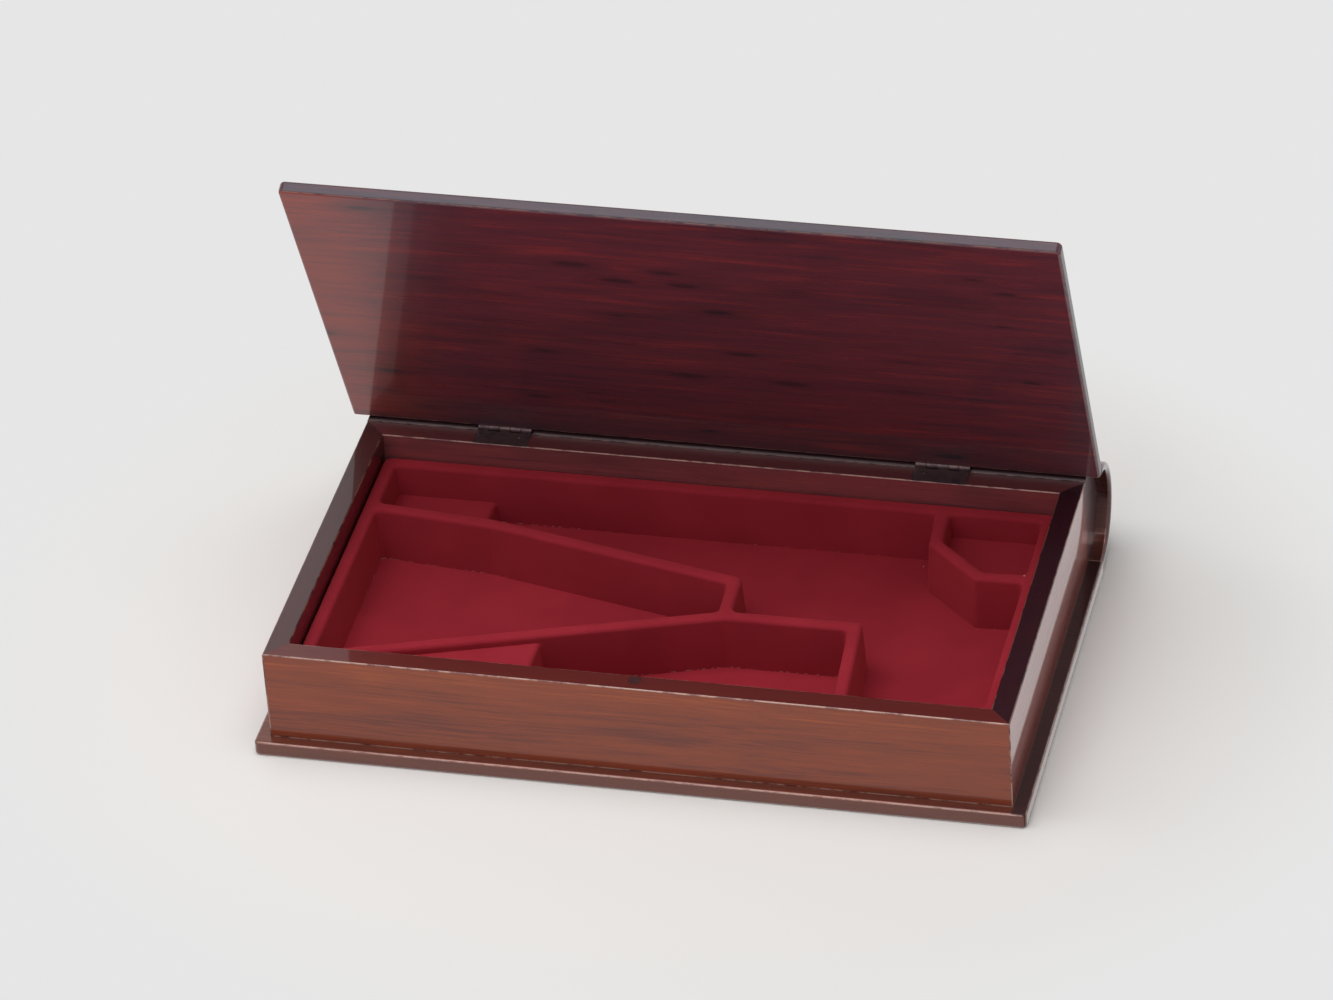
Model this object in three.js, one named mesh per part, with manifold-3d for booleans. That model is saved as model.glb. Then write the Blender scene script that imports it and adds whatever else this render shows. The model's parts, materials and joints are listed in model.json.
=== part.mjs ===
// A wooden box in the shape of a book. Two boards overhang the walls like a book's covers, four mitred walls
// stand for the pages, and a half-round spine closes the back. The upper board is the lid, on two brass butt
// hinges, and a flocked tray with four pockets lies inside.
// Millimetres, +Z up. +X runs along the box and +Y goes from the front edge to the spine.
// The origin is on the surface that the box stands on, below the middle of the closed box.

import * as THREE from 'three';
import * as BufferGeometryUtils from 'three/addons/utils/BufferGeometryUtils.js';
import Module from 'manifold-3d';

const wasm = await Module();
wasm.setup();

// Walls, measured outside
const wallLength = 400;
const wallDepth = 216;
const wallHeight = 54;
const wallThickness = 12;
const arrisRadius = 0.8;

// The two boards
const baseThickness = 8.5;
const lidThickness = 7;
const endOverhang = 8;
const frontOverhang = 6.5;
const boardEdgeRadius = 1.5;
const boardCornerRadius = 3;
const lidRestGap = 0.5;
const lidOpening = 66.5;

// Spine: a solid half-round block behind the rear wall, and a bent cover round it
const blockFlat = 3;
const spineThickness = 4.9;
const spineEndRadius = 2;
const lipRadius = 5;
const gluedGap = 0.3;

// Butt hinges
const hingeSpacing = 244;
const hingeLength = 30;
const knuckleCount = 5;
const knuckleGap = 0.3;
const leafThickness = 1;
const wallLeafWidth = 11.5;
const lidLeafMargin = 0.5;
const barrelRadius = 2;
const barrelGap = 0.3;
const pinRadius = 1;
const pinClearance = 0.15;
const mortiseGap = 0.2;

// Countersunk screws, one near each end of a leaf
const screwInset = 6;
const screwHeadRim = 0.2;
const wallScrew = { headRadius: 2, shankRadius: 0.9, length: 9 };
const lidScrew = { headRadius: 1.3, shankRadius: 0.7, length: 7 };
const screwGap = 0.12;

// Magnet catch
const catchRadius = 3.3;
const catchInset = 7.8;
const magnetDepth = 4;
const keeperDepth = 1.5;
const catchGap = 0.15;

// Flocked tray: a formed sheet with a skirt, pockets and rounded ridges
const trayGap = 0.5;
const trayHeight = 40;
const traySheet = 1.6;
const trayCornerRadius = 5;
const trayEdgeRadius = 1.8;
const rimWidth = 7.5;
const ridgeWidth = 7.5;
const ridgeRadius = 2.5;
const pocketCornerRadius = 3.5;
const pocketDepth = 31.5;
const cornerPocketDepth = 15.3;
const draftAngle = 3;

// Centre lines of the tray's ridges. The outer ones are placed from the tray's edges.
const slotRidgeLeft = { fromRear: 45 };
const slotRidgeBend = { fromLeft: 73.5, fromRear: 51.5 };
const lowRidgeLeft = { fromFront: 9 };
const cornerRidgeTop = { fromRight: 62 };
const cornerRidgeShoulder = { fromRight: 60.5, fromRear: 34 };
const cornerRidgeHeel = { fromRight: 32, fromRear: 60 };
const cornerRidgeRight = { fromRear: 58.5 };

// The middle ones are placed from the tray's middle, to the right and to the rear.
const slotRidgeCorner = { right: 27.5, rear: 12.5 };
const ridgeJunction = { right: 28.5, rear: -18.5 };
const frontRidgeCorner = { right: 99.5, rear: -18 };
const frontRidgeFoot = { right: 105 };

// Raised shelves at the left ends of two pockets: length from the tray's left edge, and drop below the rim
const slotShelf = { end: 63.3, drop: 19 };
const frontShelf = { end: 123.3, drop: 4.5 };

// Steps in round surfaces
const arcSteps = 4;
const lipSteps = 8;
const spineSteps = 36;
const hingeSteps = 12;
const screwSteps = 12;
const catchSteps = 24;

// How far a cutting body runs past a surface, and how close corners are joined into one
const overshoot = 1;
const weldDistance = 1e-5;

// Main levels and places, with Y counted from the front wall's outer face
const wallTop = baseThickness + wallHeight;
const spineRadius = wallHeight / 2;
const spineY = wallDepth + blockFlat;
const spineZ = baseThickness + spineRadius;
const coverInnerRadius = spineRadius + gluedGap;
const coverOuterRadius = coverInnerRadius + spineThickness;
const boardLength = wallLength + 2 * endOverhang;
const middleY = (spineY + coverOuterRadius - frontOverhang) / 2;
const pinY = wallDepth + barrelGap + barrelRadius;
const pinZ = wallTop - leafThickness + barrelRadius;
const grooveWidth = 2 * (barrelGap + barrelRadius);
const lidUnderside = wallTop + lidRestGap;
const knucklePitch = hingeLength / knuckleCount;

const lacquer = { color: '#6f3a2c', roughness: 0.18, metalness: 0 };
const darkLacquer = { color: '#4b1b1f', roughness: 0.15, metalness: 0 };
const brass = { color: '#b08b4c', roughness: 0.35, metalness: 1 };
const steel = { color: '#77787a', roughness: 0.4, metalness: 1 };
const flock = { color: '#7e1822', roughness: 1, metalness: 0 };

function solidOf(geometry) {
  const bare = geometry.clone();
  bare.deleteAttribute('normal');
  bare.deleteAttribute('uv');
  const merged = BufferGeometryUtils.mergeVertices(bare, weldDistance);
  return new wasm.Manifold(new wasm.Mesh({
    numProp: 3,
    vertProperties: new Float32Array(merged.attributes.position.array),
    triVerts: new Uint32Array(merged.index.array),
  }));
}

function geometryOf(solid) {
  const mesh = solid.getMesh();
  const geometry = new THREE.BufferGeometry();
  geometry.setAttribute('position', new THREE.BufferAttribute(new Float32Array(mesh.vertProperties), 3));
  geometry.setIndex(new THREE.BufferAttribute(new Uint32Array(mesh.triVerts), 1));
  const faceted = geometry.toNonIndexed();
  faceted.computeVertexNormals();
  return faceted;
}

function part(name, geometry, look) {
  const mesh = new THREE.Mesh(geometry, new THREE.MeshStandardMaterial(look));
  mesh.name = name;
  return mesh;
}

function block(x0, x1, y0, y1, z0, z1) {
  const geometry = new THREE.BoxGeometry(x1 - x0, y1 - y0, z1 - z0);
  return geometry.translate((x0 + x1) / 2, (y0 + y1) / 2, (z0 + z1) / 2);
}

// Turns a geometry drawn in (Y, Z) and built along the third axis, so that it runs along X
function turnedToX(geometry) {
  const turn = new THREE.Matrix4().makeBasis(
    new THREE.Vector3(0, 1, 0),
    new THREE.Vector3(0, 0, 1),
    new THREE.Vector3(1, 0, 0),
  );
  return geometry.applyMatrix4(turn);
}

// Extrudes a section drawn in (Y, Z) along X, centred on x
function alongX(section, length, x = 0) {
  const geometry = new THREE.ExtrudeGeometry(section, {
    depth: length,
    curveSegments: hingeSteps,
    bevelEnabled: false,
  });
  return turnedToX(geometry.translate(0, 0, -length / 2)).translate(x, 0, 0);
}

function arc(centre, radius, from, to, steps) {
  const points = [];
  for (let k = 0; k <= steps; k += 1) {
    const angle = from + ((to - from) * k) / steps;
    points.push(new THREE.Vector2(Math.cos(angle), Math.sin(angle)).multiplyScalar(radius).add(centre));
  }
  return points;
}

function turnedPoints(centre, radius, from, to, steps) {
  return arc(centre, radius, from, to, steps)
    .map((point) => ({ point, normal: point.clone().sub(centre).normalize() }));
}

function rectangle(y0, y1, z0, z1) {
  return new THREE.Shape([[y0, z0], [y1, z0], [y1, z1], [y0, z1]].map(([y, z]) => new THREE.Vector2(y, z)));
}

// Rounds each corner of a closed polygon, drawn counterclockwise, by an arc.
// Every point keeps its outward normal, so that parallel outlines have the same count of points.
function roundedOutline(corners, radius, steps = arcSteps) {
  const outline = [];
  corners.forEach((corner, i) => {
    const before = corners[(i + corners.length - 1) % corners.length];
    const after = corners[(i + 1) % corners.length];
    const into = corner.clone().sub(before).normalize();
    const out = after.clone().sub(corner).normalize();
    const turn = Math.atan2(into.cross(out), into.dot(out));
    const side = Math.sign(turn);
    const start = corner.clone().addScaledVector(into, -radius * Math.tan(Math.abs(turn) / 2));
    const outward = new THREE.Vector2(into.y, -into.x);
    const centre = start.clone().addScaledVector(outward, -side * radius);
    for (let k = 0; k <= steps; k += 1) {
      const normal = outward.clone().rotateAround(new THREE.Vector2(), (turn * k) / steps);
      outline.push({ point: centre.clone().addScaledVector(normal, side * radius), normal });
    }
  });
  return outline;
}

function parallel(outline, distance) {
  return outline.map(({ point, normal }) => point.clone().addScaledVector(normal, distance));
}

// Stacks parallel outlines, from the lowest to the highest, into one closed body
function stack(outline, rings) {
  const count = outline.length;
  const positions = [];
  const levels = rings.map(({ distance }) => parallel(outline, distance));
  levels.forEach((level, k) => level.forEach((p) => positions.push(p.x, p.y, rings[k].z)));
  const faces = [];
  for (let k = 0; k + 1 < rings.length; k += 1) {
    for (let i = 0; i < count; i += 1) {
      const a = k * count + i;
      const b = k * count + ((i + 1) % count);
      faces.push(a, b, b + count, a, b + count, a + count);
    }
  }
  const top = (rings.length - 1) * count;
  THREE.ShapeUtils.triangulateShape(levels[0], []).forEach(([a, b, c]) => faces.push(a, c, b));
  THREE.ShapeUtils.triangulateShape(levels[rings.length - 1], [])
    .forEach(([a, b, c]) => faces.push(top + a, top + b, top + c));
  const geometry = new THREE.BufferGeometry();
  geometry.setAttribute('position', new THREE.Float32BufferAttribute(positions, 3));
  geometry.setIndex(faces);
  return geometry;
}

// Board with rounded front and end edges. Its rear edge is cut square.
function board(yFront, yRear, z, thickness) {
  const halfLength = boardLength / 2;
  const yPast = yRear + boardCornerRadius + boardEdgeRadius;
  const corners = [
    new THREE.Vector2(-halfLength, yFront),
    new THREE.Vector2(halfLength, yFront),
    new THREE.Vector2(halfLength, yPast),
    new THREE.Vector2(-halfLength, yPast),
  ];
  const lower = [];
  const upper = [];
  for (let k = 0; k <= arcSteps; k += 1) {
    const angle = (k / arcSteps) * (Math.PI / 2);
    const distance = boardEdgeRadius * (Math.sin(angle) - 1);
    const inset = boardEdgeRadius * (1 - Math.cos(angle));
    lower.push({ distance, z: z + inset });
    upper.unshift({ distance, z: z + thickness - inset });
  }
  const whole = solidOf(stack(roundedOutline(corners, boardCornerRadius), [...lower, ...upper]));
  const waste = block(-boardLength, boardLength, yRear, 2 * yPast, z - overshoot, z + thickness + overshoot);
  return whole.subtract(solidOf(waste));
}

// Wall section in (inset from the outer face, height), with its two top arrises rounded
function wallSection() {
  const points = [[0, 0], [wallThickness, 0]];
  for (let k = 0; k <= arcSteps; k += 1) {
    const angle = (k / arcSteps) * (Math.PI / 2);
    points.push([
      wallThickness - arrisRadius * (1 - Math.cos(angle)),
      wallHeight - arrisRadius * (1 - Math.sin(angle)),
    ]);
  }
  for (let k = 0; k <= arcSteps; k += 1) {
    const angle = (k / arcSteps) * (Math.PI / 2);
    points.push([
      arrisRadius * (1 - Math.sin(angle)),
      wallHeight - arrisRadius * (1 - Math.cos(angle)),
    ]);
  }
  return points;
}

// Wall between two mitres. place(along, inset) gives X and Y, and along runs from -length/2 to length/2.
function mitredWall(length, place) {
  const section = wallSection();
  const count = section.length;
  const positions = [];
  for (const end of [-1, 1]) {
    for (const [inset, height] of section) {
      const [x, y] = place(end * (length / 2 - inset), inset);
      positions.push(x, y, baseThickness + height);
    }
  }
  const faces = [];
  for (let i = 0; i < count; i += 1) {
    const next = (i + 1) % count;
    faces.push(i, next, next + count, i, next + count, i + count);
  }
  const contour = section.map(([a, b]) => new THREE.Vector2(a, b));
  THREE.ShapeUtils.triangulateShape(contour, []).forEach(([a, b, c]) => {
    faces.push(a, c, b, a + count, b + count, c + count);
  });
  const geometry = new THREE.BufferGeometry();
  geometry.setAttribute('position', new THREE.Float32BufferAttribute(positions, 3));
  geometry.setIndex(faces);
  return geometry;
}

// Outline of the spine block: flat against the rear wall, then a half circle as high as the walls
function spineBlockSection() {
  const centre = new THREE.Vector2(spineY, spineZ);
  return new THREE.Shape([
    new THREE.Vector2(wallDepth, baseThickness),
    ...arc(centre, spineRadius, -Math.PI / 2, Math.PI / 2, spineSteps),
    new THREE.Vector2(wallDepth, wallTop),
  ]);
}

// Outer outline of the spine cover: round from below the base board's rear edge up to the lip behind the
// lid, whose front is rounded. It runs on past the cover's foot, where it is cut off.
function coverOutline() {
  const centre = new THREE.Vector2(spineY, spineZ);
  const lip = new THREE.Vector2(wallDepth + grooveWidth + lipRadius - spineY, 0);
  lip.y = Math.sqrt((coverOuterRadius - lipRadius) ** 2 - lip.x ** 2);
  const shoulder = lip.angle();
  lip.add(centre);
  return [
    ...turnedPoints(centre, coverOuterRadius, -Math.PI / 2, shoulder, spineSteps),
    ...turnedPoints(lip, lipRadius, shoulder, Math.PI, lipSteps).slice(1),
    { point: new THREE.Vector2(lip.x - lipRadius, spineZ), normal: new THREE.Vector2(-1, 0) },
    { point: new THREE.Vector2(wallDepth, spineZ), normal: new THREE.Vector2(0, 1) },
    { point: new THREE.Vector2(wallDepth, spineZ - coverOuterRadius), normal: new THREE.Vector2(0, -1) },
  ];
}

// Inner outline of the spine cover, open towards the walls
function coverBoreOutline() {
  const centre = new THREE.Vector2(spineY, spineZ);
  const front = wallDepth - overshoot;
  return [
    ...turnedPoints(centre, coverInnerRadius, -Math.PI / 2, Math.PI / 2, spineSteps),
    { point: new THREE.Vector2(front, spineZ + coverInnerRadius), normal: new THREE.Vector2(0, 1) },
    { point: new THREE.Vector2(front, spineZ - coverInnerRadius), normal: new THREE.Vector2(0, -1) },
  ];
}

// Places of one hinge's knuckles along X: the wall's leaf has the odd ones, the lid's leaf the even ones
function knuckles(x, parity) {
  const places = [];
  for (let k = parity; k < knuckleCount; k += 2) {
    places.push(x + (k + 0.5) * knucklePitch - hingeLength / 2);
  }
  return places;
}

function circleShape(y, z, radius) {
  const shape = new THREE.Shape();
  shape.absarc(y, z, radius, 0, 2 * Math.PI, false);
  return shape;
}

function screwPlaces(x) {
  const reach = hingeLength / 2 - screwInset;
  return [x - reach, x + reach];
}

// Countersunk screw that points down, with the top of its head at the origin
function screwShape({ headRadius, shankRadius, length }, gap = 0) {
  const tipLength = 2 * shankRadius;
  const headDepth = headRadius - shankRadius;
  const top = gap > 0 ? overshoot : 0;
  const points = [
    [0, -length - gap],
    [shankRadius + gap, -length + tipLength - gap],
    [shankRadius + gap, -headDepth - screwHeadRim - gap],
    [headRadius + gap, -screwHeadRim - gap],
    [headRadius + gap, top],
    [0, top],
  ].map(([r, z]) => new THREE.Vector2(r, z));
  return new THREE.LatheGeometry(points, screwSteps).rotateX(Math.PI / 2);
}

function wallScrews(x, gap = 0) {
  const y = wallDepth - wallLeafWidth / 2;
  return screwPlaces(x).map((place) => screwShape(wallScrew, gap).translate(place, y, wallTop));
}

function lidScrews(x, gap = 0) {
  const outer = pinY - barrelRadius + leafThickness;
  const z = (lidLeafFoot() + lidLeafHead()) / 2;
  return screwPlaces(x).map((place) => {
    const screw = screwShape(lidScrew, gap).rotateX(-Math.PI / 2);
    return screw.translate(place, outer, z);
  });
}

function lidLeafFoot() {
  return pinZ + barrelRadius + barrelGap;
}

function lidLeafHead() {
  return lidUnderside + lidThickness - lidLeafMargin;
}

// A leaf is a plate, and straps that run from it into knuckles bored for the pin
function leaf(x, parity, plate, strap, screws) {
  let solid = solidOf(plate);
  for (const place of knuckles(x, parity)) {
    const length = knucklePitch - knuckleGap;
    solid = solid.add(solidOf(alongX(circleShape(pinY, pinZ, barrelRadius), length, place)));
    solid = solid.add(solidOf(alongX(strap, length, place)));
  }
  const bore = alongX(circleShape(pinY, pinZ, pinRadius + pinClearance), hingeLength + 2 * overshoot, x);
  solid = solid.subtract(solidOf(bore));
  for (const screw of screws) {
    solid = solid.subtract(solidOf(screw));
  }
  return solid;
}

function wallLeaf(x) {
  const bottom = wallTop - leafThickness;
  const front = wallDepth - wallLeafWidth;
  const plate = block(x - hingeLength / 2, x + hingeLength / 2, front, wallDepth, bottom, wallTop);
  const strap = rectangle(wallDepth - overshoot, pinY, bottom, wallTop);
  return leaf(x, 0, plate, strap, wallScrews(x, screwGap));
}

function lidLeaf(x) {
  const inner = pinY - barrelRadius;
  const outer = inner + leafThickness;
  const foot = lidLeafFoot();
  const head = lidLeafHead();
  const plate = block(x - hingeLength / 2, x + hingeLength / 2, inner, outer, foot, head);
  const strap = rectangle(inner, outer, pinZ, foot + overshoot);
  return leaf(x, 1, plate, strap, lidScrews(x, screwGap));
}

function hingePin(x) {
  return alongX(circleShape(pinY, pinZ, pinRadius), hingeLength, x);
}

// Upright disc of the catch between two heights, or, with a gap, the hole for it
function catchDisc(z0, z1, gap = 0) {
  const radius = catchRadius + gap;
  const geometry = new THREE.CylinderGeometry(radius, radius, z1 - z0, catchSteps);
  return geometry.rotateX(Math.PI / 2).translate(0, catchInset, (z0 + z1) / 2);
}

const hingePlaces = { left: -hingeSpacing / 2, right: hingeSpacing / 2 };

function rearWall() {
  let wall = solidOf(mitredWall(wallLength, (along, inset) => [-along, wallDepth - inset]));
  const half = hingeLength / 2 + mortiseGap;
  const front = wallDepth - wallLeafWidth - mortiseGap;
  const bottom = wallTop - leafThickness;
  for (const x of Object.values(hingePlaces)) {
    const mortise = block(x - half, x + half, front, wallDepth + overshoot, bottom, wallTop + overshoot);
    wall = wall.subtract(solidOf(mortise));
    for (const screw of wallScrews(x, screwGap)) {
      wall = wall.subtract(solidOf(screw));
    }
  }
  return wall;
}

function frontWall() {
  const wall = solidOf(mitredWall(wallLength, (along, inset) => [along, inset]));
  return wall.subtract(solidOf(catchDisc(wallTop - magnetDepth, wallTop + overshoot, catchGap)));
}

function endWall(side) {
  const centreY = wallDepth / 2;
  const face = (wallLength / 2) * side;
  return mitredWall(wallDepth, (along, inset) => [face - side * inset, centreY + side * along]);
}

function spineBlock() {
  let solid = solidOf(alongX(spineBlockSection(), wallLength));
  const half = hingeLength / 2 + barrelGap;
  const front = wallDepth - overshoot;
  const bottom = wallTop - leafThickness - barrelGap;
  for (const x of Object.values(hingePlaces)) {
    const notch = block(x - half, x + half, front, wallDepth + grooveWidth, bottom, wallTop + overshoot);
    solid = solid.subtract(solidOf(notch));
  }
  return solid;
}

// Bent cover with rounded ends: its outside narrows there, and its bore widens
function spineCover() {
  const half = boardLength / 2;
  const outer = [];
  const bore = [];
  for (let k = 0; k <= arcSteps; k += 1) {
    const angle = (k / arcSteps) * (Math.PI / 2);
    const x = half - spineEndRadius * (1 - Math.sin(angle));
    const distance = spineEndRadius * (1 - Math.cos(angle));
    outer.push({ distance: -distance, z: x });
    bore.push({ distance, z: x });
  }
  bore.push({ distance: spineEndRadius, z: half + overshoot });
  const bothEnds = (rings) => [...rings.map(({ distance, z }) => ({ distance, z: -z })).reverse(), ...rings];
  const body = solidOf(turnedToX(stack(coverOutline(), bothEnds(outer))));
  const hollow = solidOf(turnedToX(stack(coverBoreOutline(), bothEnds(bore))));
  const foot = spineY + gluedGap;
  const waste = block(-boardLength, boardLength, 0, foot, 0, spineZ);
  return body.subtract(hollow).subtract(solidOf(waste));
}

function lidBoard() {
  let solid = board(-frontOverhang, wallDepth, lidUnderside, lidThickness);
  const recess = catchDisc(lidUnderside - overshoot, lidUnderside + keeperDepth + catchGap, catchGap);
  solid = solid.subtract(solidOf(recess));
  for (const x of Object.values(hingePlaces)) {
    for (const screw of lidScrews(x, screwGap)) {
      solid = solid.subtract(solidOf(screw));
    }
  }
  return solid;
}

const trayLeft = -wallLength / 2 + wallThickness + trayGap;
const trayFront = wallThickness + trayGap;
const trayWidth = 2 * -trayLeft;
const trayDepth = wallDepth - 2 * trayFront;
const rimTop = baseThickness + trayHeight;

// Centre lines round the tray's pockets, counterclockwise. Along the rim they lie half a ridge outside its
// inner edge.
function pocketCorners() {
  const edge = rimWidth - ridgeWidth / 2;
  const right = trayWidth - edge;
  const rear = trayDepth - edge;
  const at = (x, y) => new THREE.Vector2(x, y);
  const fromCorner = (place) => at(trayWidth - place.fromRight, trayDepth - place.fromRear);
  const fromMiddle = (place) => at(trayWidth / 2 + place.right, trayDepth / 2 + place.rear);
  const slotLeft = at(edge, trayDepth - slotRidgeLeft.fromRear);
  const bend = at(slotRidgeBend.fromLeft, trayDepth - slotRidgeBend.fromRear);
  const corner = fromMiddle(slotRidgeCorner);
  const junction = fromMiddle(ridgeJunction);
  const frontCorner = fromMiddle(frontRidgeCorner);
  const frontFoot = at(trayWidth / 2 + frontRidgeFoot.right, edge);
  const lowLeft = at(edge, lowRidgeLeft.fromFront);
  const shoulder = fromCorner(cornerRidgeShoulder);
  const heel = fromCorner(cornerRidgeHeel);
  const cornerTop = at(trayWidth - cornerRidgeTop.fromRight, rear);
  const cornerRight = at(right, trayDepth - cornerRidgeRight.fromRear);
  const lowRidgeSlope = (junction.y - lowLeft.y) / (junction.x - edge);
  const frontTip = at(edge - (lowLeft.y - edge) / lowRidgeSlope, edge);
  return {
    main: [
      slotLeft, bend, corner, junction, frontCorner, frontFoot, at(right, edge),
      cornerRight, heel, shoulder, cornerTop, at(edge, rear),
    ],
    triangle: [lowLeft, junction, corner, bend, slotLeft],
    front: [frontTip, frontFoot, frontCorner, junction],
    corner: [shoulder, heel, cornerRight, at(right, rear), cornerTop],
  };
}

// Moves each side of a polygon inwards
function movedInwards(corners, distance) {
  return corners.map((corner, i) => {
    const before = corners[(i + corners.length - 1) % corners.length];
    const after = corners[(i + 1) % corners.length];
    const into = corner.clone().sub(before).normalize();
    const out = after.clone().sub(corner).normalize();
    const bend = into.cross(out);
    const along = (1 - into.dot(out)) / bend;
    const left = new THREE.Vector2(-into.y, into.x);
    return corner.clone().addScaledVector(left, distance).addScaledVector(into, -distance * along);
  });
}

// The part of a polygon to the right of x
function rightOf(corners, x) {
  return corners.flatMap((corner, i) => {
    const next = corners[(i + 1) % corners.length];
    const kept = corner.x > x ? [corner] : [];
    if (corner.x > x !== next.x > x) {
      kept.push(corner.clone().lerp(next, (x - corner.x) / (next.x - corner.x)));
    }
    return kept;
  });
}

// Space of one pocket, or, with the sheet's thickness, the outer side of the sheet round it.
// Its walls slope, and round over at the top level.
function pocketSpace(corners, top, depth, sheet) {
  const outline = roundedOutline(movedInwards(corners, ridgeWidth / 2), pocketCornerRadius);
  const slope = Math.tan(THREE.MathUtils.degToRad(draftAngle)) * (depth + sheet - ridgeRadius);
  const rings = [{ distance: sheet - slope, z: top - depth - sheet }];
  for (let k = 0; k <= arcSteps; k += 1) {
    const angle = (k / arcSteps) * (Math.PI / 2);
    rings.push({
      distance: ridgeRadius - (ridgeRadius - sheet) * Math.cos(angle),
      z: top - ridgeRadius + (ridgeRadius - sheet) * Math.sin(angle),
    });
  }
  rings.push({ distance: ridgeRadius, z: top + overshoot });
  return solidOf(stack(outline, rings).translate(trayLeft, trayFront, 0));
}

// Pocket with a raised shelf at its left end. The shelf's end slopes and rounds over like the walls.
function shelvedPocket(corners, { end, drop }, sheet) {
  const shelfTop = rimTop - drop;
  const beside = rightOf(corners, end - ridgeWidth / 2);
  const besideShelf = pocketSpace(beside, shelfTop, pocketDepth - drop + overshoot, sheet);
  const trayRear = trayFront + trayDepth;
  const lower = block(trayLeft, -trayLeft, trayFront, trayRear, baseThickness, shelfTop - sheet);
  const shelf = solidOf(lower).subtract(besideShelf);
  return pocketSpace(corners, rimTop, pocketDepth, sheet).subtract(shelf);
}

function pockets(sheet) {
  const corners = pocketCorners();
  return [
    shelvedPocket(corners.main, slotShelf, sheet),
    pocketSpace(corners.triangle, rimTop, pocketDepth, sheet),
    shelvedPocket(corners.front, frontShelf, sheet),
    pocketSpace(corners.corner, rimTop, cornerPocketDepth, sheet),
  ];
}

// Outer side of the skirt and rim, or, with the sheet's thickness, their inner side
function traySkirt(sheet) {
  const corners = [
    new THREE.Vector2(0, 0),
    new THREE.Vector2(trayWidth, 0),
    new THREE.Vector2(trayWidth, trayDepth),
    new THREE.Vector2(0, trayDepth),
  ];
  const rings = [{ distance: -sheet, z: sheet > 0 ? baseThickness - overshoot : baseThickness }];
  const radius = trayEdgeRadius - sheet;
  for (let k = 0; k <= arcSteps; k += 1) {
    const angle = (k / arcSteps) * (Math.PI / 2);
    rings.push({
      distance: -trayEdgeRadius + radius * Math.cos(angle),
      z: rimTop - trayEdgeRadius + radius * Math.sin(angle),
    });
  }
  const outline = roundedOutline(corners, trayCornerRadius);
  return solidOf(stack(outline, rings).translate(trayLeft, trayFront, 0));
}

function flockedTray() {
  const underside = pockets(traySheet)
    .reduce((space, pocket) => space.subtract(pocket), traySkirt(traySheet));
  const sheet = traySkirt(0).subtract(underside);
  return pockets(0).reduce((tray, pocket) => tray.subtract(pocket), sheet);
}

const box = new THREE.Group();
box.position.set(0, -middleY, 0);

const base = board(-frontOverhang, spineY, 0, baseThickness);
const magnet = catchDisc(wallTop - magnetDepth, wallTop);
box.add(
  part('base_board', geometryOf(base), lacquer),
  part('front_wall', geometryOf(frontWall()), lacquer),
  part('left_end_wall', endWall(-1), lacquer),
  part('right_end_wall', endWall(1), lacquer),
  part('rear_wall', geometryOf(rearWall()), lacquer),
  part('spine_block', geometryOf(spineBlock()), lacquer),
  part('spine_cover', geometryOf(spineCover()), lacquer),
  part('flocked_tray', geometryOf(flockedTray()), flock),
  part('catch_magnet', magnet, steel),
);

// The lid and what is screwed to it turn about the hinge pins
const lid = new THREE.Group();
lid.position.set(0, pinY, pinZ);
lid.rotation.x = -THREE.MathUtils.degToRad(lidOpening);
box.add(lid);

const fromPin = (geometry) => geometry.translate(0, -pinY, -pinZ);
const keeper = catchDisc(lidUnderside, lidUnderside + keeperDepth);
lid.add(
  part('lid_board', fromPin(geometryOf(lidBoard())), darkLacquer),
  part('catch_keeper', fromPin(keeper), steel),
);

for (const [side, x] of Object.entries(hingePlaces)) {
  box.add(
    part(`${side}_hinge_wall_leaf`, geometryOf(wallLeaf(x)), brass),
    part(`${side}_hinge_pin`, hingePin(x), brass),
    ...wallScrews(x).map((screw, k) => part(`${side}_hinge_wall_screw_${k + 1}`, screw, brass)),
  );
  lid.add(
    part(`${side}_hinge_lid_leaf`, fromPin(geometryOf(lidLeaf(x))), brass),
    ...lidScrews(x).map((screw, k) => part(`${side}_hinge_lid_screw_${k + 1}`, fromPin(screw), brass)),
  );
}

export default box;
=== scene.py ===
"""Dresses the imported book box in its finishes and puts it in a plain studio.

The box has the shape of a book: lacquered wood outside, a flocked tray inside, two butt hinges and a magnet
catch. All sizes are metres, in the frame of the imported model: +X runs along the box, +Y goes from the front
edge to the spine, and +Z is up.
"""

from __future__ import annotations

import json
import logging
import math
from collections.abc import Iterable
from dataclasses import dataclass, replace
from enum import Enum

import bmesh
import bpy
from mathutils import Euler, Matrix, Vector

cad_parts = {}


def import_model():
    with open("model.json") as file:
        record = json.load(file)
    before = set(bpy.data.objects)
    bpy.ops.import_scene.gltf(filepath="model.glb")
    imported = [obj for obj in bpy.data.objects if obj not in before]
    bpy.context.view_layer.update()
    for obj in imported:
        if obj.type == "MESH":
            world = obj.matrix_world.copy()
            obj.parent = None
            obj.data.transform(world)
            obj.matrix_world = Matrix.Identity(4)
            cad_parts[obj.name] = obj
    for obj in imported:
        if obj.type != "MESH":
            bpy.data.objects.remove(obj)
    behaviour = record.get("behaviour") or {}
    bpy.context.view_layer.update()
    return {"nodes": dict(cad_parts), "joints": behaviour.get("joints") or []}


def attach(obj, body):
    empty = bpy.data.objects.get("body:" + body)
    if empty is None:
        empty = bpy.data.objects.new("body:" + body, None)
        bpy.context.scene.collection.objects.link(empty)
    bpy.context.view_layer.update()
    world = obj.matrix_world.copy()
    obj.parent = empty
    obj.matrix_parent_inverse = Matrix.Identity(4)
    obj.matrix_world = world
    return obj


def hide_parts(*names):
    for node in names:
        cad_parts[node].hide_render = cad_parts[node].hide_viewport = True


LOG = logging.getLogger("book_box")

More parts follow.
